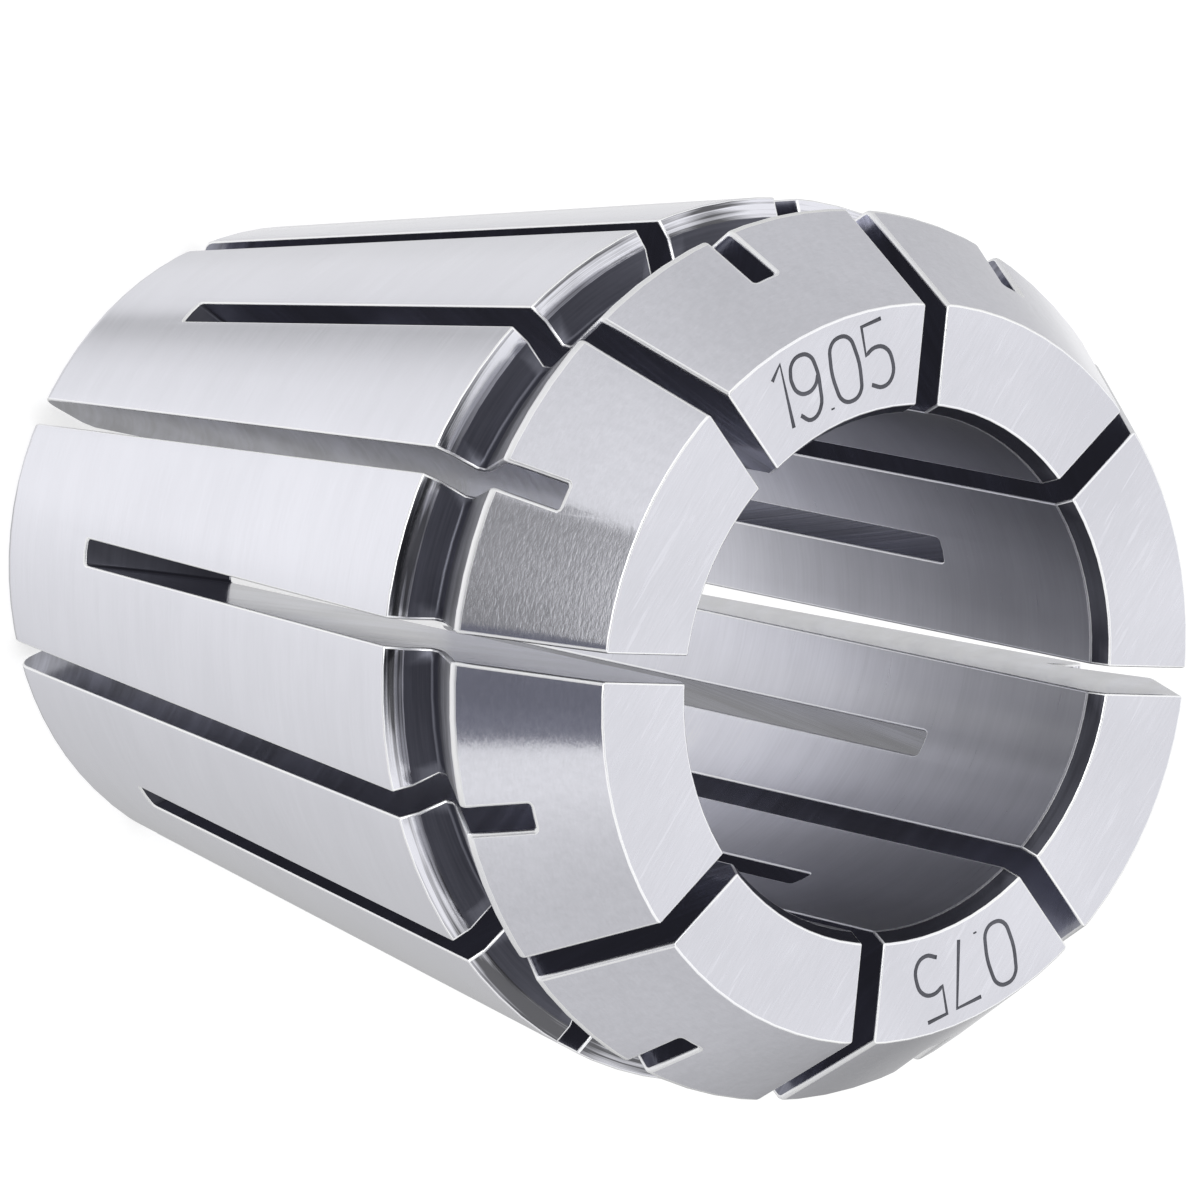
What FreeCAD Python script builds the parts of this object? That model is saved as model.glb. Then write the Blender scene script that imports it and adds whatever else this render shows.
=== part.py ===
import FreeCAD, Part
import math
import os

os.makedirs("parts", exist_ok=True)

# Sizes in millimetres and degrees. The axis is Z, the small end stands on Z = 0 and the nose is up.
overall_length = 40.0
clamping_bore_diameter = 19.05
largest_diameter = 33.0  # over the seat cone's large end, and over the rounded rim of the nose
seat_half_angle = 8.0
nose_half_angle = 30.0
nose_cone_length = 5.15  # from the front face to the rim's corner as if it were sharp
rim_rounding = 0.4
back_rounding = 1.0  # outer corner of the small end

# Extraction groove between the nose and the seat cone, from front to back
groove_flank_angle = 30.0  # the sloping flank behind the rim, against the axis
groove_flank_rounding = 0.45  # where the flank runs into the floor
groove_floor_diameter = 29.2
groove_floor_length = 0.47
groove_wall_rounding = 0.15  # where the floor meets the flat wall
seat_chamfer_depth = 0.7  # from the seat's edge in to the flat wall, along the radius
seat_chamfer_length = 0.36  # the same chamfer along the axis

# Chamfers at the two ends of the bore
front_lead_in_length = 0.68
front_lead_in_angle = 29.0
back_lead_in = 0.4

# Saw slots: one half of them comes from the nose, the other half from the small end.
slots_per_end = 8
slot_width = 1.0
saw_diameter = 40.0
saw_low_point = 6.8  # distance of the saw's edge from the axis, inside the bore
front_slot_uncut = 6.9  # metal left above the small end, measured on the seat cone
back_slot_uncut = 2.78  # metal left behind the front face, measured on the nose cone
cut_overrun = 2.0  # how far a cut runs out past the blank


def sine(degrees):
    return math.sin(math.radians(degrees))


def tangent(degrees):
    return math.tan(math.radians(degrees))


# Radii that follow from the sizes above. The rim's sharp corner stands out past its rounding.
bore_radius = clamping_bore_diameter / 2
largest_radius = largest_diameter / 2
saw_radius = saw_diameter / 2
floor_radius = groove_floor_diameter / 2
corner_share = (sine(nose_half_angle) + sine(groove_flank_angle)) / sine(nose_half_angle + groove_flank_angle)
sharp_rim_radius = largest_radius + rim_rounding * (corner_share - 1)

# Heights above the small end
rim_height = overall_length - nose_cone_length
floor_front_height = rim_height - (sharp_rim_radius - floor_radius) / tangent(groove_flank_angle)
wall_height = floor_front_height - groove_floor_length
seat_edge_height = wall_height - seat_chamfer_length


def nose_radius(setback):
    """Radius of the nose cone at a distance back from the front face."""
    return sharp_rim_radius - (nose_cone_length - setback) * tangent(nose_half_angle)


def seat_cone_radius(height):
    """Radius of the seat cone at a height above the small end."""
    return largest_radius - (seat_edge_height - height) * tangent(seat_half_angle)


def rounded_outline(corners):
    """Close a wire through (radius, height, rounding) corners, with an arc at each rounded one."""
    edges = []
    starts = []
    ends = []
    arcs = []
    for index, (radius, height, rounding) in enumerate(corners):
        here = FreeCAD.Vector(radius, 0, height)
        before = corners[index - 1]
        after = corners[(index + 1) % len(corners)]
        back = (FreeCAD.Vector(before[0], 0, before[1]) - here).normalize()
        forth = (FreeCAD.Vector(after[0], 0, after[1]) - here).normalize()
        half_corner = back.getAngle(forth) / 2
        reach = rounding / math.tan(half_corner)
        starts.append(here + back * reach)
        ends.append(here + forth * reach)
        if rounding:
            middle = (back + forth).normalize()
            crown = here + middle * (rounding / math.sin(half_corner) - rounding)
            arcs.append(Part.Arc(starts[-1], crown, ends[-1]).toShape())
        else:
            arcs.append(None)
    for index, arc in enumerate(arcs):
        if arc:
            edges.append(arc)
        edges.append(Part.LineSegment(ends[index], starts[(index + 1) % len(arcs)]).toShape())
    return Part.Wire(edges)


def turned_blank():
    """The collet before its slots are sawn: one section turned about the axis."""
    lead_in = front_lead_in_length * tangent(front_lead_in_angle)
    section = [
        (bore_radius + back_lead_in, 0, 0),
        (seat_cone_radius(0), 0, back_rounding),
        (largest_radius, seat_edge_height, 0),
        (largest_radius - seat_chamfer_depth, wall_height, 0),
        (floor_radius, wall_height, groove_wall_rounding),
        (floor_radius, floor_front_height, groove_flank_rounding),
        (sharp_rim_radius, rim_height, rim_rounding),
        (nose_radius(0), overall_length, 0),
        (bore_radius + lead_in, overall_length, 0),
        (bore_radius, overall_length - front_lead_in_length, 0),
        (bore_radius, back_lead_in, 0),
    ]
    face = Part.Face(rounded_outline(section))
    return face.revolve(FreeCAD.Vector(0, 0, 0), FreeCAD.Vector(0, 0, 1), 360)


def saw_cut(end_radius, end_height, toward_nose):
    """A saw's path on the +X side: it stops at a point of the surface and runs out of one end."""
    centre_radius = saw_low_point + saw_radius
    end_reach = math.sqrt(saw_radius ** 2 - (centre_radius - end_radius) ** 2)
    centre_height = end_height + end_reach if toward_nose else end_height - end_reach
    blade = Part.makeCylinder(
        saw_radius, slot_width,
        FreeCAD.Vector(centre_radius, slot_width / 2, centre_height), FreeCAD.Vector(0, -1, 0))
    far_height = overall_length + cut_overrun if toward_nose else -cut_overrun
    track_bottom = min(centre_height, far_height)
    track = Part.makeBox(
        largest_radius + cut_overrun - saw_low_point, slot_width, abs(far_height - centre_height),
        FreeCAD.Vector(saw_low_point, -slot_width / 2, track_bottom))
    return blade.fuse(track).removeSplitter()


def slots():
    """Front slots on the multiples of the pitch, back slots halfway between them."""
    pitch = 360 / slots_per_end
    front_end_radius = seat_cone_radius(front_slot_uncut)
    back_end_height = overall_length - back_slot_uncut
    front_cut = saw_cut(front_end_radius, front_slot_uncut, True)
    back_cut = saw_cut(nose_radius(back_slot_uncut), back_end_height, False)
    cuts = []
    for index in range(slots_per_end):
        for cut, angle in ((front_cut, index * pitch), (back_cut, (index + 0.5) * pitch)):
            turned = cut.copy()
            turned.rotate(FreeCAD.Vector(0, 0, 0), FreeCAD.Vector(0, 0, 1), angle)
            cuts.append(turned)
    return cuts


sawn = turned_blank().cut(slots())
print("solids", len(sawn.Solids), "volume", round(sawn.Volume, 1), "valid", sawn.isValid())
collet = sawn.Solids[0]
collet.exportStep("parts/collet.step")
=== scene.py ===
import math

import bmesh
import bpy
from mathutils import Matrix, Quaternion, Vector


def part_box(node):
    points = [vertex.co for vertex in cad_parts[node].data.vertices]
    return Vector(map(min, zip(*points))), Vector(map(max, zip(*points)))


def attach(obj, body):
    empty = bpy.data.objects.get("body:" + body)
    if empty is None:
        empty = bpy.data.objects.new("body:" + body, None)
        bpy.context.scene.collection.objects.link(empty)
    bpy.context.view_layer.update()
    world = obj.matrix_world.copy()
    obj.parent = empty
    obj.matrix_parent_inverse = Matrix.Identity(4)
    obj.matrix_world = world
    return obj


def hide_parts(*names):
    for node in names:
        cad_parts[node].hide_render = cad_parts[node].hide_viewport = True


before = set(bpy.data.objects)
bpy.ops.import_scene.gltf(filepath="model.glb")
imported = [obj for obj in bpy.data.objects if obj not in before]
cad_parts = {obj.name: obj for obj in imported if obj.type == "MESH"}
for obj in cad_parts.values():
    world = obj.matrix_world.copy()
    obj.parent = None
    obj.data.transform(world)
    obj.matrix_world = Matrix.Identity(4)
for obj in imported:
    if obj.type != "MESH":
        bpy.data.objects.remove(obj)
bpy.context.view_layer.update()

mm = 0.001
lowCorner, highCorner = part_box("collet")

# Sizes of the collet in millimetres and degrees. The axis is Z, the small end stands on the floor.
collet = {
    "length": (highCorner.z - lowCorner.z) / mm,
    "largestRadius": (highCorner.x - lowCorner.x) / 2 / mm,
    "boreRadius": 9.525,
    "seatHalfAngle": 8.0,
    "noseHalfAngle": 30.0,
    "noseConeLength": 5.15,
    "rimRounding": 0.4,
    "backRounding": 1.0,
    "flankAngle": 30.0,
    "flankRounding": 0.45,
    "floorRadius": 14.6,
    "floorLength": 0.47,
    "seatChamferDepth": 0.7,
    "seatChamferLength": 0.36,
    "frontLeadInLength": 0.68,
    "frontLeadInAngle": 29.0,
    "backLeadIn": 0.4,
    "turnSteps": 80,  # a slot's walls both fall inside one step, so no sliver is cut
    "arcStep": 15.0,  # degrees of a rounding per edge
    "sharpFrom": 20.0,  # degrees between faces from which an outer edge is broken
}

saw = {
    "slotsPerEnd": 8,
    "width": 1.0,
    "radius": 20.0,
    "lowPoint": 6.8,  # distance of the saw's edge from the axis
    "frontUncut": 6.9,  # metal left above the small end
    "backUncut": 2.78,  # metal left behind the front face
    "overrun": 2.0,
    "arcSteps": 18,
    "toothRounding": 0.12,  # the blade's worn corners, left in the ends of the slots
    "roundingSteps": 3,
    "wallLean": 0.01,  # the most that a slot's wall may face along the axis
    "wallTurn": 0.1,  # and along the radius
}
sawCentre = saw["lowPoint"] + saw["radius"]


def sine(degrees):
    return math.sin(math.radians(degrees))


def cosine(degrees):
    return math.cos(math.radians(degrees))


def tangent(degrees):
    return math.tan(math.radians(degrees))


cornerShare = (sine(collet["noseHalfAngle"]) + sine(collet["flankAngle"])) / sine(
    collet["noseHalfAngle"] + collet["flankAngle"])
sharpRimRadius = collet["largestRadius"] + collet["rimRounding"] * (cornerShare - 1)
rimHeight = collet["length"] - collet["noseConeLength"]
flankFoot = rimHeight - (sharpRimRadius - collet["floorRadius"]) / tangent(collet["flankAngle"])
wallHeight = flankFoot - collet["floorLength"]
seatEdgeHeight = wallHeight - collet["seatChamferLength"]


def noseRadius(setback):  # of the nose cone, behind the front face
    return sharpRimRadius - (collet["noseConeLength"] - setback) * tangent(collet["noseHalfAngle"])


def seatRadius(height):
    return collet["largestRadius"] - (seatEdgeHeight - height) * tangent(collet["seatHalfAngle"])


def roundedOutline(corners):  # points through (radius, height, rounding) corners, with arcs
    points = []
    for index, (radius, height, rounding) in enumerate(corners):
        here = Vector((radius, height))
        if not rounding:
            points.append(here)
            continue
        back = (Vector(corners[index - 1][:2]) - here).normalized()
        forth = (Vector(corners[(index + 1) % len(corners)][:2]) - here).normalized()
        halfCorner = back.angle(forth) / 2
        reach = rounding / math.tan(halfCorner)
        centre = here + (back + forth).normalized() * rounding / math.sin(halfCorner)
        start = here + back * reach - centre
        turn = start.angle_signed(here + forth * reach - centre)
        steps = max(2, round(math.degrees(abs(turn)) / collet["arcStep"]))
        points += [centre + Matrix.Rotation(-turn * step / steps, 2) @ start for step in range(steps + 1)]
    return points


def meshObject(name, shape):
    mesh = bpy.data.meshes.new(name)
    shape.to_mesh(mesh)
    shape.free()
    made = bpy.data.objects.new(name, mesh)
    bpy.context.scene.collection.objects.link(made)
    return made


def outlineVerts(shape, points, y=0.0):  # (radius, height) points in millimetres on the +X side
    return [shape.verts.new((radius * mm, y * mm, height * mm)) for radius, height in points]


# The turned blank: one section spun round the axis
leadIn = collet["frontLeadInLength"] * tangent(collet["frontLeadInAngle"])
section = roundedOutline([
    (collet["boreRadius"] + collet["backLeadIn"], 0, 0),
    (seatRadius(0), 0, collet["backRounding"]),
    (collet["largestRadius"], seatEdgeHeight, 0),
    (collet["largestRadius"] - collet["seatChamferDepth"], wallHeight, 0),
    (collet["floorRadius"], wallHeight, 0),
    (collet["floorRadius"], flankFoot, collet["flankRounding"]),
    (sharpRimRadius, rimHeight, collet["rimRounding"]),
    (noseRadius(0), collet["length"], 0),
    (collet["boreRadius"] + leadIn, collet["length"], 0),
    (collet["boreRadius"], collet["length"] - collet["frontLeadInLength"], 0),
    (collet["boreRadius"], collet["backLeadIn"], 0),
])
shape = bmesh.new()
ring = outlineVerts(shape, section)
sides = [shape.edges.new((ring[index - 1], vert)) for index, vert in enumerate(ring)]
bmesh.ops.spin(
    shape, geom=ring + sides, cent=(0, 0, 0), axis=(0, 0, 1), angle=math.tau,
    steps=collet["turnSteps"], use_merge=True)
bmesh.ops.recalc_face_normals(shape, faces=shape.faces)


# Zones of the surface, each with its own finish, some with painted shade or highlight
zones = [
    "noseCone", "seat", "face", "bore", "leadIn", "recess",
    "chamfer", "flank", "sawn", "sawEnd", "edge", "mark"]
zoneLimits = {
    "level": 0.99,  # of a face's normal along the axis, from here up
    "upright": 0.1,  # up to here
    "rimFront": 0.6,  # shares of the rim's rounding before and behind its corner
    "rimBack": 0.5,
    "flankFoot": 0.25,  # share of the flank's rounding
}


def turnedZone(face):
    centre = face.calc_center_median() / mm
    level = abs(face.normal.z) > zoneLimits["level"]
    if level and (centre.z > rimHeight or centre.z < collet["backRounding"]):
        return "face"
    if face.normal.xy.dot(centre.xy) < 0:
        return "bore" if abs(face.normal.z) < zoneLimits["upright"] else "leadIn"
    if centre.z > rimHeight + collet["rimRounding"] * zoneLimits["rimFront"]:
        return "noseCone"
    if centre.z > rimHeight - collet["rimRounding"] * zoneLimits["rimBack"]:
        return "edge"
    if centre.z > flankFoot + collet["flankRounding"] * zoneLimits["flankFoot"]:
        return "flank"
    if centre.z > seatEdgeHeight:
        return "recess" if level or centre.z > wallHeight else "chamfer"
    return "seat"


for face in shape.faces:
    face.material_index = zones.index(turnedZone(face))
blank = meshObject("collet_ground", shape)
print("blank turned:", len(blank.data.polygons), "faces")


def bakeModifiers(piece):
    mesh = bpy.data.meshes.new_from_object(piece.evaluated_get(bpy.context.evaluated_depsgraph_get()))
    piece.modifiers.clear()
    piece.data = mesh


def cutAway(piece, tool, crossing=False):  # the piece's mesh without the tool's room
    for mesh in (piece.data, tool.data):
        for name in zones[len(mesh.materials):]:
            mesh.materials.append(bpy.data.materials.get(name) or bpy.data.materials.new(name))
    cut = piece.modifiers.new("cut", "BOOLEAN")
    cut.object = tool
    cut.solver = "EXACT"
    cut.use_self = crossing
    bakeModifiers(piece)
    bpy.data.objects.remove(tool)


# The numbers on the nose face: the bore in millimetres and in inches
marks = {
    "texts": [("19.05", 202.5), ("0.75", 22.5)],  # (number, bearing of its middle)
    "radius": 11.72,
    "height": 2.45,
    "gap": 0.14,  # between two signs, as a share of the height
    "tipRadius": 0.1,
    "tipSteps": 2,
    "curveSteps": 4,
    "depth": 0.05,
    "mergeWithin": 0.001,
}
# One stroke of an engraver's tool per sign, as shares of the height.
# A point (x, y) is on a curve and a point (x, y, 1) is a corner.
strokes = {
    "0": [(0, 0.72), (0.07, 0.93), (0.24, 1), (0.41, 0.93), (0.48, 0.72),
          (0.48, 0.28), (0.41, 0.07), (0.24, 0), (0.07, 0.07), (0, 0.28)],
    "1": [(0, 0.8, 1), (0.2, 1, 1), (0.2, 0, 1)],
    "5": [(0.44, 1, 1), (0.06, 1, 1), (0.03, 0.56, 1), (0.22, 0.62), (0.41, 0.54),
          (0.48, 0.33), (0.41, 0.08), (0.22, 0), (0.02, 0.1)],
    "7": [(0, 1, 1), (0.48, 1, 1), (0.18, 0, 1)],
    "9": [(0.03, 0.13), (0.2, 0), (0.4, 0.1), (0.48, 0.42), (0.48, 0.74), (0.41, 0.93), (0.24, 1),
          (0.07, 0.93), (0, 0.75), (0, 0.65), (0.07, 0.48), (0.24, 0.41), (0.41, 0.48), (0.48, 0.6)],
    ".": [(0, 0, 1), (0, 0.03, 1)],
}


def engraveNumber(shape, number, bearing):  # adds the room that the tool takes away
    curve = bpy.data.curves.new("number", "CURVE")
    curve.dimensions = "3D"
    curve.bevel_depth = marks["tipRadius"] * mm
    curve.bevel_resolution = marks["tipSteps"]
    curve.resolution_u = marks["curveSteps"]
    curve.use_fill_caps = True
    widths = [max(point[0] for point in strokes[sign]) for sign in number]
    left = -(sum(widths) + marks["gap"] * (len(number) - 1)) / 2
    for sign, width in zip(number, widths):
        spline = curve.splines.new("BEZIER")
        spline.use_cyclic_u = sign == "0"
        spline.bezier_points.add(len(strokes[sign]) - 1)
        for knot, (x, y, *corner) in zip(spline.bezier_points, strokes[sign]):
            knot.co = Vector((left + x, y - 0.5, 0)) * marks["height"] * mm
            knot.handle_left_type = knot.handle_right_type = "VECTOR" if corner else "AUTO"
        left += width + marks["gap"]
    text = bpy.data.objects.new("number", curve)
    bpy.context.scene.collection.objects.link(text)
    mesh = bpy.data.meshes.new_from_object(text.evaluated_get(bpy.context.evaluated_depsgraph_get()))
    bpy.data.objects.remove(text)
    mesh.transform(Matrix.Rotation(math.radians(bearing - 90), 4, "Z") @ Matrix.Translation(
        Vector((0, marks["radius"], collet["length"] + marks["tipRadius"] - marks["depth"])) * mm))
    shape.from_mesh(mesh)


shape = bmesh.new()
for number, bearing in marks["texts"]:
    engraveNumber(shape, number, bearing)
bmesh.ops.remove_doubles(shape, verts=shape.verts, dist=marks["mergeWithin"] * mm)
bmesh.ops.recalc_face_normals(shape, faces=shape.faces)
for face in shape.faces:
    face.material_index = zones.index("mark")
cutAway(blank, meshObject("numbers", shape), crossing=True)
print("numbers engraved:", len(blank.data.polygons), "faces")


# The saw cuts: half of them run out of the nose, the other half out of the small end
def sawCut(shape, endRadius, endHeight, towardNose):  # a saw's path on the +X side
    sign = 1 if towardNose else -1
    centreHeight = endHeight + sign * math.sqrt(saw["radius"] ** 2 - (sawCentre - endRadius) ** 2)
    farRadius = collet["largestRadius"] + saw["overrun"]
    farHeight = collet["length"] + saw["overrun"] if towardNose else -saw["overrun"]
    lastTurn = math.acos((sawCentre - farRadius) / saw["radius"])
    points = [(farRadius, farHeight), (saw["lowPoint"], farHeight)]
    for step in range(saw["arcSteps"] + 1):
        turn = lastTurn * step / saw["arcSteps"]
        points.append((sawCentre - saw["radius"] * math.cos(turn),
                       centreHeight - sign * saw["radius"] * math.sin(turn)))
    near = outlineVerts(shape, points, -saw["width"] / 2)
    made = bmesh.ops.extrude_face_region(shape, geom=[shape.faces.new(near)], use_keep_orig=True)
    far = [part for part in made["geom"] if isinstance(part, bmesh.types.BMVert)]
    bmesh.ops.translate(shape, verts=far, vec=(0, saw["width"] * mm, 0))
    rims = [edge for side in (set(near), set(far)) for edge in shape.edges if side.issuperset(edge.verts)]
    bmesh.ops.bevel(
        shape, geom=rims, offset=saw["toothRounding"] * mm, offset_type="OFFSET",
        segments=saw["roundingSteps"], profile=0.5, affect="EDGES")


pitch = math.tau / saw["slotsPerEnd"]
shape = bmesh.new()
sawCut(shape, noseRadius(saw["backUncut"]), collet["length"] - saw["backUncut"], False)
bmesh.ops.rotate(shape, verts=shape.verts, cent=(0, 0, 0), matrix=Matrix.Rotation(pitch / 2, 3, "Z"))
sawCut(shape, seatRadius(saw["frontUncut"]), saw["frontUncut"], True)
bmesh.ops.spin(
    shape, geom=shape.verts[:] + shape.edges[:] + shape.faces[:], cent=(0, 0, 0), axis=(0, 0, 1),
    angle=math.tau - pitch, steps=saw["slotsPerEnd"] - 1, use_duplicate=True)
bmesh.ops.recalc_face_normals(shape, faces=shape.faces)
for face in shape.faces:
    outward = face.calc_center_median().xy.normalized()
    upright = abs(face.normal.z) < saw["wallLean"]
    isWall = upright and abs(outward.dot(face.normal.xy)) < saw["wallTurn"]
    face.material_index = zones.index("sawn" if isWall else "sawEnd")
cutAway(blank, meshObject("saw_path", shape))
print("slots sawn:", len(blank.data.polygons), "faces")


# The broken edges
breaks = {
    "nose": 0.17,  # along the slots in the nose cone, the rim and its back
    "usual": 0.08,
    "turned": 0.06,
    "segments": 3,
    "mergeWithin": 0.0005,
}


def edgeBreak(edge):  # width of the break along an outer edge in millimetres, or 0
    kinds = {zones[face.material_index] for face in edge.link_faces}
    if "mark" in kinds or edge.calc_face_angle_signed() < math.radians(collet["sharpFrom"]):
        return 0
    if not kinds & {"sawn", "sawEnd"}:
        return 0 if kinds == {"chamfer", "recess"} else breaks["turned"]
    return breaks["nose"] if kinds & {"noseCone", "edge", "flank"} else breaks["usual"]


shape = bmesh.new()
shape.from_mesh(blank.data)
bmesh.ops.remove_doubles(shape, verts=shape.verts, dist=breaks["mergeWithin"] * mm)
weight = shape.edges.layers.float.new("bevel_weight_edge")
for edge in shape.edges:
    edge[weight] = edgeBreak(edge) / breaks["nose"]
shape.to_mesh(blank.data)
shape.free()
broken = blank.modifiers.new("edges", "BEVEL")
broken.limit_method = "WEIGHT"
broken.width = breaks["nose"] * mm
broken.segments = breaks["segments"]
broken.profile = 0.5
broken.use_clamp_overlap = False
broken.miter_outer = "MITER_ARC"
# The breaks take the edge material, painted near white as a painted highlight.
broken.material = zones.index("edge")
bakeModifiers(blank)

for face in blank.data.polygons:
    face.use_smooth = zones[face.material_index] not in ("face", "mark")
shaded = blank.modifiers.new("shading", "WEIGHTED_NORMAL")
shaded.keep_sharp = True
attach(blank, "root")
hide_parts("collet")
print("edges broken:", len(blank.data.polygons), "faces")


# Finishes, some with painted shade, glow and highlights, painted in Object coordinates
def newNode(tree, kind, inputs=(), **settings):  # inputs: {socket: value or another node's output}
    made = tree.nodes.new(kind)
    for name, value in settings.items():
        setattr(made, name, value)
    for socket, value in dict(inputs).items():
        if isinstance(value, bpy.types.NodeSocket):
            tree.links.new(value, made.inputs[socket])
        else:
            made.inputs[socket].default_value = value
    return made


def calculate(tree, operation, first, second=0.0):
    return newNode(tree, "ShaderNodeMath", {0: first, 1: second}, operation=operation).outputs[0]


def separate(tree, vector):
    return newNode(tree, "ShaderNodeSeparateXYZ", {0: vector}).outputs


def greyRamp(tree, value, stops, low, high):  # stops: (value, grey)
    ramp = newNode(tree, "ShaderNodeValToRGB", {0: newNode(tree, "ShaderNodeMapRange", {
        "Value": value, "From Min": low, "From Max": high}).outputs["Result"]})
    elements = ramp.color_ramp.elements
    elements.remove(elements[1])
    for index, (at, grey) in enumerate(stops):
        position = (at - low) / (high - low)
        stop = elements.new(position) if index else elements[0]
        stop.position = position
        stop.color = (grey, grey, grey, 1)
    return ramp.outputs["Color"]


def lobes(tree, place, middle, count):  # 1 at a bearing and its repeats, fading to 0 between them
    parts = separate(tree, place)
    bearing = calculate(tree, "ARCTAN2", parts[1], parts[0])
    turn = calculate(tree, "MULTIPLY", calculate(tree, "SUBTRACT", bearing, math.radians(middle)), count)
    return calculate(tree, "MAXIMUM", calculate(tree, "COSINE", turn), 0.0)


steelTint = (1.0, 1.003, 1.08)
shadeTint = (1.0, 1.02, 1.22)  # of the dark places
shadeBelow = 0.5  # the grey below which a place is dark
paintedGlowTint = (0.75, 0.75, 1.0)  # of the painted glow, which keeps the slots from full black
paintedGlowLevel = 0.0145
patches = {"Scale": 180.0, "Detail": 2.0}
noiseMiddle = 1.5  # the middle of the sum of the three noises
# The streaks of a finish come in two sizes: how many broad ones there are, as a share of the fine ones.
broadShare = {"turned": 0.12, "straight": 0.35, "sawn": 0.2}
# Single scratches are the tops of the broad streaks.
scratches = {"From Min": 0.6, "From Max": 0.68, "To Min": 0.42, "To Max": 1.1}
sawDrift = 3.0  # how fast the saw's marks change from slot to slot


# tones: grey of the dull and of the bright places. depth: of the marks, in millimetres.
# paintedHighlight: bearing in degrees of a painted highlight, how often it comes round the axis, and by how
# much.
# paintedGlowOn: whether the place has a painted glow, a faint emission that keeps it from full black.
def steel(name, streaks, tones, roughness, depth, spread=0.3, paintedHighlight=None, paintedGlowOn=False, metallic=1.0):
    material = bpy.data.materials[name]
    material.use_nodes = True
    tree = material.node_tree
    shader = tree.nodes["Principled BSDF"]
    shader.inputs["Metallic"].default_value = metallic
    # A painted glow: the dark places flagged for it emit a faint light, though no lamp is there.
    shader.inputs["Emission Color"].default_value = paintedGlowTint + (1,)
    shader.inputs["Emission Strength"].default_value = paintedGlowLevel if paintedGlowOn else 0.0
    place = newNode(tree, "ShaderNodeTexCoord").outputs["Object"]
    fine, broad = streaks(tree, place)
    cloud = newNode(tree, "ShaderNodeTexNoise", {"Vector": place, **patches})
    mixed = calculate(tree, "ADD", calculate(tree, "ADD", fine, broad), cloud.outputs["Fac"])
    # A painted highlight: brighter at a bearing and its repeats.
    if paintedHighlight:
        middle, count, gain = paintedHighlight
        mixed = calculate(tree, "ADD", mixed, calculate(
            tree, "MULTIPLY", lobes(tree, place, middle, count), gain))
    tone = newNode(tree, "ShaderNodeMapRange", {
        "Value": mixed, "From Min": noiseMiddle - spread, "From Max": noiseMiddle + spread}).outputs[0]
    tint = shadeTint if max(tones) < shadeBelow else steelTint
    dull, bright = ([grey * share for share in tint] + [1] for grey in tones)
    paint = newNode(tree, "ShaderNodeMix", {0: tone, "A": dull, "B": bright}, data_type="RGBA")
    tree.links.new(paint.outputs["Result"], shader.inputs["Base Color"])
    polish = newNode(tree, "ShaderNodeMapRange", {
        "Value": fine, "To Min": roughness[0], "To Max": roughness[1]})
    tree.links.new(polish.outputs["Result"], shader.inputs["Roughness"])
    if depth:
        bump = newNode(tree, "ShaderNodeBump", {"Height": fine, "Strength": 1.0, "Distance": depth * mm})
        tree.links.new(bump.outputs["Normal"], shader.inputs["Normal"])


def streakNoise(tree, vector, along):
    return newNode(tree, "ShaderNodeTexNoise", {
        "Vector": vector, "W": along, "Scale": 1.0, "Detail": 3.0, "Roughness": 0.6},
        noise_dimensions="4D").outputs["Fac"]


def axisRadius(tree, parts):
    flat = newNode(tree, "ShaderNodeCombineXYZ", {0: parts[0], 1: parts[1]}).outputs[0]
    return newNode(tree, "ShaderNodeVectorMath", {0: flat}, operation="LENGTH").outputs["Value"]


def turnedStreaks(across, around):  # grinding marks that run round the axis
    def build(tree, place):
        parts = separate(tree, place)
        radius = axisRadius(tree, parts)
        found = []
        for share in (1.0, broadShare["turned"]):
            vector = newNode(tree, "ShaderNodeCombineXYZ", {
                0: calculate(tree, "MULTIPLY", radius, across * share),
                1: calculate(tree, "MULTIPLY", parts[2], across * share),
                2: calculate(tree, "MULTIPLY", parts[0], around)}).outputs[0]
            found.append(streakNoise(tree, vector, calculate(tree, "MULTIPLY", parts[1], around)))
        return found
    return build


def straightStreaks(across, along, bearing):  # marks of a grinding wheel across the nose face
    def build(tree, place):
        turned = newNode(tree, "ShaderNodeMapping", {
            "Vector": place, "Rotation": (0, 0, math.radians(-bearing))}).outputs[0]
        parts = separate(tree, turned)
        found = []
        for share in (1.0, broadShare["straight"]):
            vector = newNode(tree, "ShaderNodeCombineXYZ", {
                0: calculate(tree, "MULTIPLY", parts[0], along * share),
                1: calculate(tree, "MULTIPLY", parts[1], across * share)}).outputs[0]
            found.append(streakNoise(tree, vector, 0.0))
        scratched = newNode(tree, "ShaderNodeMapRange", {"Value": found[1], **scratches})
        return found[0], scratched.outputs["Result"]
    return build


def sawMarks(across, along):  # arcs of the saw's edge, at each place that its centre passed
    def build(tree, place):
        parts = separate(tree, place)
        radius = axisRadius(tree, parts)
        bearing = calculate(tree, "ARCTAN2", parts[1], parts[0])
        turn = calculate(tree, "MULTIPLY", bearing, float(saw["slotsPerEnd"]))
        side = calculate(tree, "SIGN", calculate(tree, "COSINE", turn))  # 1 at the slots from the nose
        offset = calculate(tree, "SUBTRACT", sawCentre * mm, radius)
        reach = calculate(tree, "SQRT", calculate(
            tree, "SUBTRACT", (saw["radius"] * mm) ** 2, calculate(tree, "MULTIPLY", offset, offset)))
        centre = calculate(tree, "ADD", parts[2], calculate(tree, "MULTIPLY", reach, side))
        found = []
        for share in (1.0, broadShare["sawn"]):
            vector = newNode(tree, "ShaderNodeCombineXYZ", {
                0: calculate(tree, "MULTIPLY", centre, across * share),
                1: calculate(tree, "MULTIPLY", radius, along)}).outputs[0]
            found.append(streakNoise(tree, vector, calculate(tree, "MULTIPLY", bearing, sawDrift)))
        return found
    return build


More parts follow.
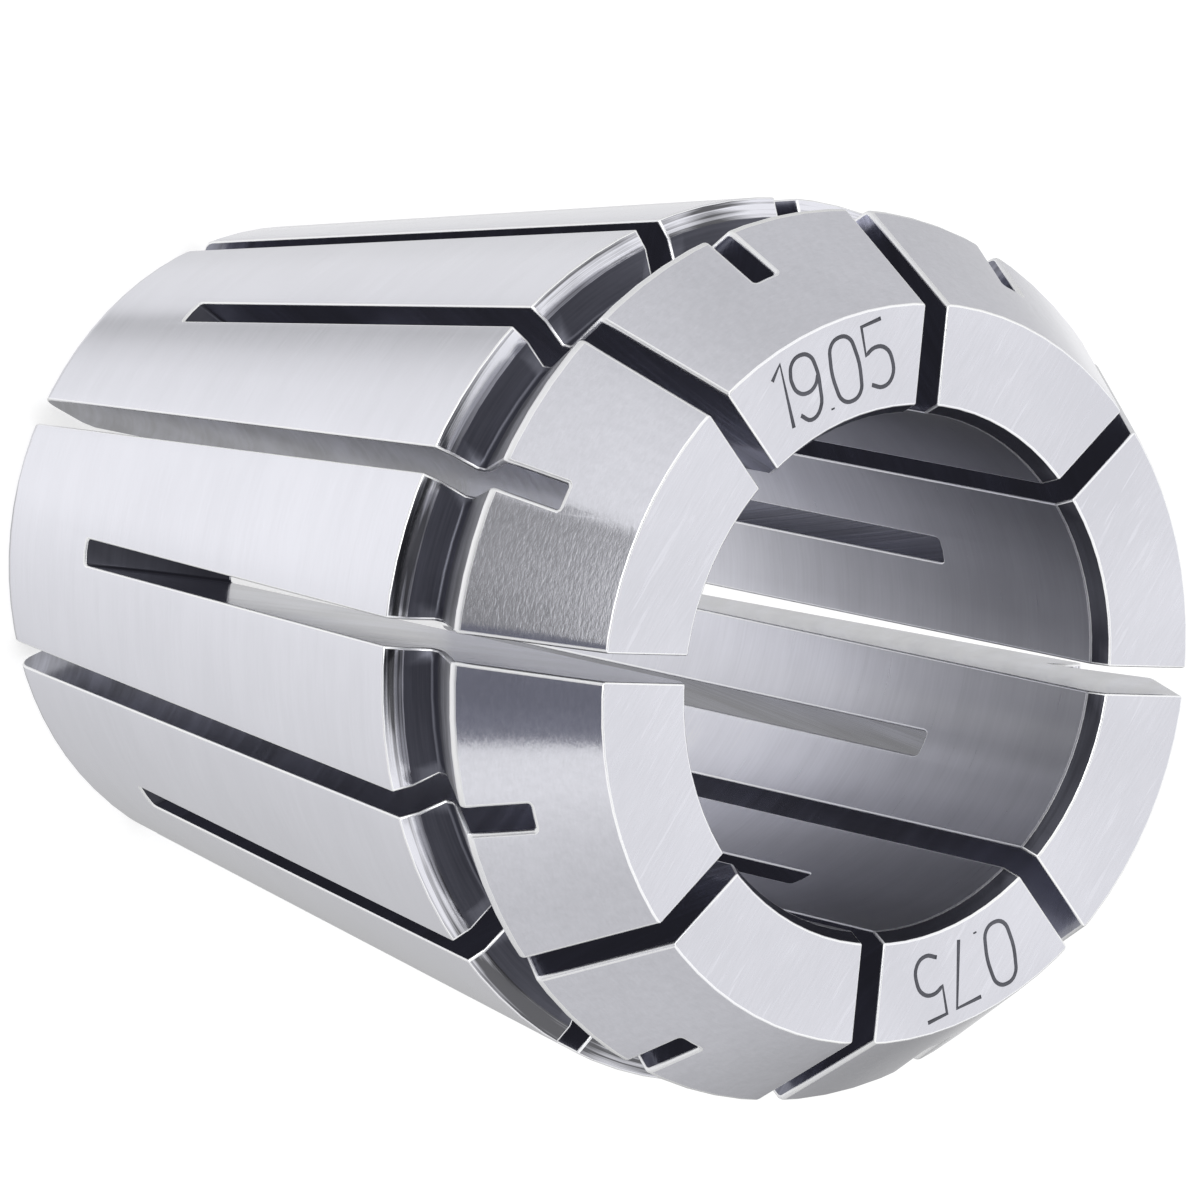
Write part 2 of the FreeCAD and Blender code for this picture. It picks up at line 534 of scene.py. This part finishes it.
# Streaks: marks per metre across and along their run
steel("noseCone", turnedStreaks(9000, 3500), tones=(0.74, 0.81), roughness=(0.08, 0.16), depth=0.003)
steel("seat", turnedStreaks(9000, 300), tones=(0.77, 0.81), roughness=(0.1, 0.2), depth=0.0008)
steel("face", straightStreaks(9000, 700, 149.0), tones=(0.67, 0.75), roughness=(0.15, 0.35), depth=0.0015)
steel("bore", turnedStreaks(9000, 250), tones=(0.86, 0.98), roughness=(0.25, 0.33), depth=0.001)
# The lead-in and the recess are painted near black: painted shade in the bore's mouth and in the groove.
steel("leadIn", turnedStreaks(9000, 250), tones=(0.04, 0.08), roughness=(0.2, 0.3), depth=0.001, paintedGlowOn=True)
steel("recess", turnedStreaks(9000, 250), tones=(0.08, 0.13), roughness=(0.35, 0.45), depth=0.001, paintedGlowOn=True)
# The chamfer is brighter at a bearing and its repeat: a painted highlight.
steel(
    "chamfer", turnedStreaks(7000, 60), tones=(0.12, 0.8), roughness=(0.15, 0.25), depth=0.005, spread=0.12,
    paintedHighlight=(-60.0, 2.0, 0.17))
steel("flank", turnedStreaks(6000, 60), tones=(0.15, 0.5), roughness=(0.4, 0.55), depth=0.004)
# The slot walls and ends are painted dark: painted shade inside the deep slots.
steel(
    "sawn", sawMarks(2600, 150), tones=(0.12, 0.32), roughness=(0.12, 0.22), depth=0.008, spread=0.22,
    paintedGlowOn=True)
steel("sawEnd", turnedStreaks(6000, 60), tones=(0.03, 0.045), roughness=(0.3, 0.4), depth=0.002, paintedGlowOn=True)
# The broken edges are painted near white: a painted highlight along them.
steel("edge", turnedStreaks(7000, 100), tones=(0.96, 1.0), roughness=(0.3, 0.4), depth=0)
steel("mark", turnedStreaks(7000, 100), tones=(0.08, 0.12), roughness=(0.4, 0.5), depth=0, metallic=0.3)

# Painted shade in the bore: bright at the small end and darker towards its mouth. Lengths are in metres.
borePaintedShade = {
    "byHeight": [(0.012, 1.0), (0.018, 0.9), (0.024, 0.62), (0.03, 0.48), (0.037, 0.41)],
    "byBearing": [(1.15, 1.0), (1.21, 0.86)],  # bearing in radians: duller from the slot at 67.5 degrees on
    "tongueBearing": 67.0,  # where the bright part reaches highest, in degrees
    "tongues": 3.0,  # how often it does so round the axis
    "tongueReach": 0.007,
    "spread": 0.8,  # marks round the axis spread the light along it
    "spreadTurn": 0.25,
}
tree = bpy.data.materials["bore"].node_tree
ground = tree.nodes["Principled BSDF"]
around = newNode(tree, "ShaderNodeTangent", direction_type="RADIAL", axis="Z").outputs[0]
tree.links.new(around, ground.inputs["Tangent"])
ground.inputs["Anisotropic"].default_value = borePaintedShade["spread"]
ground.inputs["Anisotropic Rotation"].default_value = borePaintedShade["spreadTurn"]
place = newNode(tree, "ShaderNodeTexCoord").outputs["Object"]
parts = separate(tree, place)
bearing = calculate(tree, "ARCTAN2", parts[1], parts[0])
tongue = lobes(tree, place, borePaintedShade["tongueBearing"], borePaintedShade["tongues"])
height = calculate(tree, "SUBTRACT", parts[2], calculate(tree, "MULTIPLY", tongue, borePaintedShade["tongueReach"]))
paint = ground.inputs["Base Color"].links[0].from_socket
for shadeFactor in (
        greyRamp(tree, height, borePaintedShade["byHeight"], 0.0, collet["length"] * mm),
        greyRamp(tree, bearing, borePaintedShade["byBearing"], -math.pi, math.pi)):
    paint = newNode(tree, "ShaderNodeMix", {
        0: 1.0, "A": paint, "B": shadeFactor}, data_type="RGBA", blend_type="MULTIPLY").outputs["Result"]
tree.links.new(paint, ground.inputs["Base Color"])
print("finishes:", ", ".join(zones))


# Floor, background and light
stage = {  # lengths in metres, where no other unit is named
    "floorSize": 3.0,
    "floorDrop": 0.02,  # millimetres below the small end
    "floorGlow": 0.68,
    "floorGrey": 0.47,
    "skySeen": 1.0,
    "skyLight": 0.85,
    "lampSize": 0.25,
    "lampPower": 0.6,
    "lampPlace": (-0.15, -0.35, 0.35),
    "lampAim": (0, 0, 0.02),
}


def seenShare(tree):  # 1 for the rays that show a background, 0 for the others
    rays = newNode(tree, "ShaderNodeLightPath").outputs
    direct = calculate(tree, "MAXIMUM", rays["Is Camera Ray"], rays["Is Glossy Ray"])
    return calculate(tree, "MAXIMUM", direct, rays["Is Transmission Ray"])


shape = bmesh.new()
bmesh.ops.create_grid(shape, x_segments=1, y_segments=1, size=stage["floorSize"])
bmesh.ops.translate(shape, verts=shape.verts, vec=(0, 0, -stage["floorDrop"] * mm))
floor = meshObject("floor", shape)
material = bpy.data.materials.new("pale_floor")
material.use_nodes = True
tree = material.node_tree
tree.nodes.remove(tree.nodes["Principled BSDF"])
strength = calculate(tree, "MULTIPLY", seenShare(tree), stage["floorGlow"])
glow = newNode(tree, "ShaderNodeEmission", {"Color": (1, 1, 1, 1), "Strength": strength})
matt = newNode(tree, "ShaderNodeBsdfDiffuse", {"Color": [stage["floorGrey"]] * 3 + [1]})
both = newNode(tree, "ShaderNodeAddShader", {0: glow.outputs[0], 1: matt.outputs[0]})
tree.links.new(both.outputs[0], tree.nodes["Material Output"].inputs["Surface"])
floor.data.materials.append(material)
floor.visible_glossy = False

# Grey screens far round the object, which only the metal sees: (bearing from +X in degrees, brightness)
tent = {
    "radius": 500.0,
    "whiteElevations": (10.0, 17.0),  # from the start of their fade to white, up to their top
    "tableElevations": (-51.0, -47.0),  # where the table ends and the wall begins
    "segments": 96,
    "wall": [
        (-180, 0.66), (-159, 0.74), (-147, 0.79), (-134, 0.82), (-122, 0.82), (-55, 0.86), (-43, 0.73),
        (-30, 0.66), (5, 0.64), (18, 0.6), (30, 0.51), (41, 0.42), (55, 0.355), (64, 0.43), (72, 0.62),
        (76, 0.88), (88, 1.0), (98, 0.94), (104, 0.8), (113, 0.69), (123, 0.65), (180, 0.66)],
    "table": [
        (-180, 0.54), (-172, 0.77), (-162, 0.89), (-152, 0.94), (-125, 1.03), (-97, 1.03), (-87, 0.97),
        (-64, 0.885), (-54, 0.85), (-33, 0.8), (-4, 0.7), (14, 0.65), (23, 0.63), (47, 0.56), (71, 0.48),
        (85, 0.8), (93, 0.88), (109, 0.84), (125, 0.75), (134, 0.78), (142, 0.87), (162, 0.87), (169, 0.84),
        (174, 0.5), (180, 0.54)],
}
# Cards before the screens: (name, bearings, elevations, brightness, tint)
cards = [
    ("pale_card", (-119.0, -104.0), (-12.0, 9.0), 0.29, (1.0, 1.0, 1.0)),
    ("middle_card", (-104.0, -98.0), (-12.0, 9.0), 0.28, (1.0, 1.0, 1.0)),
    ("grey_card", (-98.0, -88.0), (-12.0, 9.0), 0.235, (1.0, 1.0, 1.0)),
    ("dark_card", (-88.0, -72.0), (-12.0, 17.0), 0.16, shadeTint),
    ("dim_card", (-72.0, -65.5), (-12.0, 17.0), 0.19, shadeTint),
    ("overhead_card", (-165.0, -45.0), (58.0, 85.0), 0.06, shadeTint),
]
cardRadius = 350.0
cardSteps = 24
cardCentre = Vector((0, 0, 37.0))  # the height of the nose cone, which shows the cards


def onlyForMetal(screen):
    for ray in ("camera", "diffuse", "shadow", "transmission", "volume_scatter"):
        setattr(screen, "visible_" + ray, False)


def glowingMaterial(name):
    material = bpy.data.materials.new(name)
    material.use_nodes = True
    tree = material.node_tree
    tree.nodes.remove(tree.nodes["Principled BSDF"])
    glow = newNode(tree, "ShaderNodeEmission")
    tree.links.new(glow.outputs[0], tree.nodes["Material Output"].inputs["Surface"])
    return material, tree, glow


tentTop = tent["radius"] * sine(tent["whiteElevations"][1])
shape = bmesh.new()
bmesh.ops.create_uvsphere(
    shape, u_segments=tent["segments"], v_segments=tent["segments"] // 2, radius=tent["radius"] * mm)
bmesh.ops.bisect_plane(
    shape, geom=shape.verts[:] + shape.edges[:] + shape.faces[:],
    plane_co=(0, 0, tentTop * mm), plane_no=(0, 0, 1), clear_outer=True)
screens = meshObject("grey_screens", shape)
material, tree, glow = glowingMaterial("grey_screens")
parts = separate(tree, newNode(tree, "ShaderNodeTexCoord").outputs["Object"])
bearing = calculate(tree, "DEGREES", calculate(tree, "ARCTAN2", parts[1], parts[0]))


def between(tree, height, elevations):  # 0 to 1 from the one elevation to the other
    low, high = (tent["radius"] * sine(elevation) * mm for elevation in elevations)
    share = newNode(tree, "ShaderNodeMapRange", {"Value": height, "From Min": low, "From Max": high})
    return share.outputs["Result"]


grey = newNode(tree, "ShaderNodeMix", {
    0: between(tree, parts[2], tent["tableElevations"]),
    "A": greyRamp(tree, bearing, tent["table"], -180.0, 180.0),
    "B": greyRamp(tree, bearing, tent["wall"], -180.0, 180.0)}, data_type="RGBA")
whole = newNode(tree, "ShaderNodeMix", {
    0: between(tree, parts[2], tent["whiteElevations"]), "A": grey.outputs["Result"], "B": (1, 1, 1, 1)},
    data_type="RGBA")
tree.links.new(whole.outputs["Result"], glow.inputs["Color"])
screens.data.materials.append(material)
onlyForMetal(screens)

for name, bearings, elevations, grey, tint in cards:
    shape = bmesh.new()
    edge = [
        shape.verts.new((cardCentre + cardRadius * Vector((cosine(elevation), 0, sine(elevation)))) * mm)
        for elevation in (elevations[0], sum(elevations) / 2, elevations[1])]
    sides = [shape.edges.new(pair) for pair in zip(edge, edge[1:])]
    start, end = (math.radians(bearing) for bearing in bearings)
    bmesh.ops.rotate(shape, verts=edge, cent=(0, 0, 0), matrix=Matrix.Rotation(start, 3, "Z"))
    bmesh.ops.spin(
        shape, geom=edge + sides, cent=(0, 0, 0), axis=(0, 0, 1), angle=end - start, steps=cardSteps)
    card = meshObject(name, shape)
    material, tree, glow = glowingMaterial(name)
    glow.inputs["Color"].default_value = [grey * share for share in tint] + [1]
    card.data.materials.append(material)
    onlyForMetal(card)

world = bpy.data.worlds.new("studio")
bpy.context.scene.world = world
world.use_nodes = True
tree = world.node_tree
level = newNode(tree, "ShaderNodeMapRange", {
    "Value": seenShare(tree), "To Min": stage["skyLight"], "To Max": stage["skySeen"]})
tree.links.new(level.outputs[0], tree.nodes["Background"].inputs["Strength"])
tree.nodes["Background"].inputs["Color"].default_value = (1, 1, 1, 1)

lampData = bpy.data.lights.new("softbox", "AREA")
lampData.size = stage["lampSize"]
lampData.energy = stage["lampPower"]
lamp = bpy.data.objects.new("softbox", lampData)
bpy.context.scene.collection.objects.link(lamp)
lamp.location = stage["lampPlace"]
lamp.rotation_euler = (Vector(stage["lampAim"]) - lamp.location).to_track_quat("-Z", "Y").to_euler()
print("stage and lights set")


# Camera, at the photograph's angle
camera = {  # millimetres and degrees
    "aim": Vector((-0.266, 0.937, 20.7)),
    "azimuth": -8.195,
    "elevation": 51.798,
    "roll": 102.013,
    "distance": 442.079,
    "lens": 352.075,
}
azimuth, elevation = math.radians(camera["azimuth"]), math.radians(camera["elevation"])
back = Vector((
    math.sin(azimuth) * math.cos(elevation), -math.cos(azimuth) * math.cos(elevation), math.sin(elevation)))
viewer = bpy.data.objects.new("viewer", bpy.data.cameras.new("viewer"))
bpy.context.scene.collection.objects.link(viewer)
viewer.data.lens = camera["lens"]
viewer.location = (camera["aim"] + back * camera["distance"]) * mm
viewer.rotation_mode = "QUATERNION"
roll = Quaternion((0, 0, 1), math.radians(camera["roll"]))
viewer.rotation_quaternion = (-back).to_track_quat("-Z", "Y") @ roll
bpy.context.scene.camera = viewer
bpy.context.scene.view_settings.view_transform = "Standard"
print("camera set")
